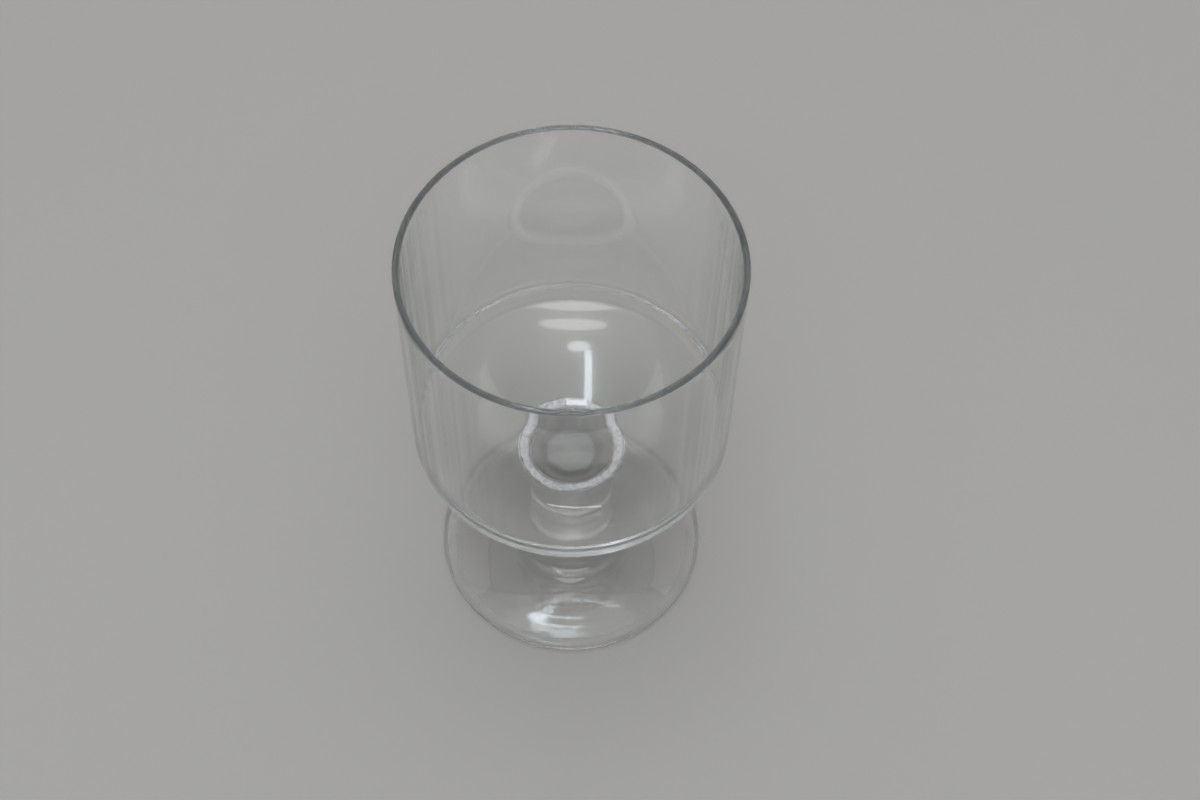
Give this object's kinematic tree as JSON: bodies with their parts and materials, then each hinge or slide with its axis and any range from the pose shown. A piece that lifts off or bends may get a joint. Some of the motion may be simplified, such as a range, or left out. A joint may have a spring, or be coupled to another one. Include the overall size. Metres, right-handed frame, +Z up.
{
  "type": "stemmed juice glass",
  "caption": "Clear juice glass with a straight-sided bowl, a dished floor, a short solid stem and a round foot that stands on a narrow flat ring.",
  "frame": {"origin": "on the glass's axis, in the plane it stands on", "axes": "+Z up along the axis, towards the lip; the glass is round, so +X and +Y have no preferred direction"},
  "size_m": [0.064, 0.064, 0.104],
  "materials": {
    "bowl_glass": "thin blown soda-lime glass, fire-polished, colourless with a trace of grey-green",
    "stem_glass": "solid fire-polished soda-lime glass, colourless with a trace of grey-green; the ring that is fused to the bowl is mottled",
    "foot_glass": "solid fire-polished soda-lime glass, colourless with a trace of grey-green"
  },
  "bodies": {
    "root": {"bowl": "bowl_glass", "stem": "stem_glass", "foot": "foot_glass"}
  },
  "joints": []
}
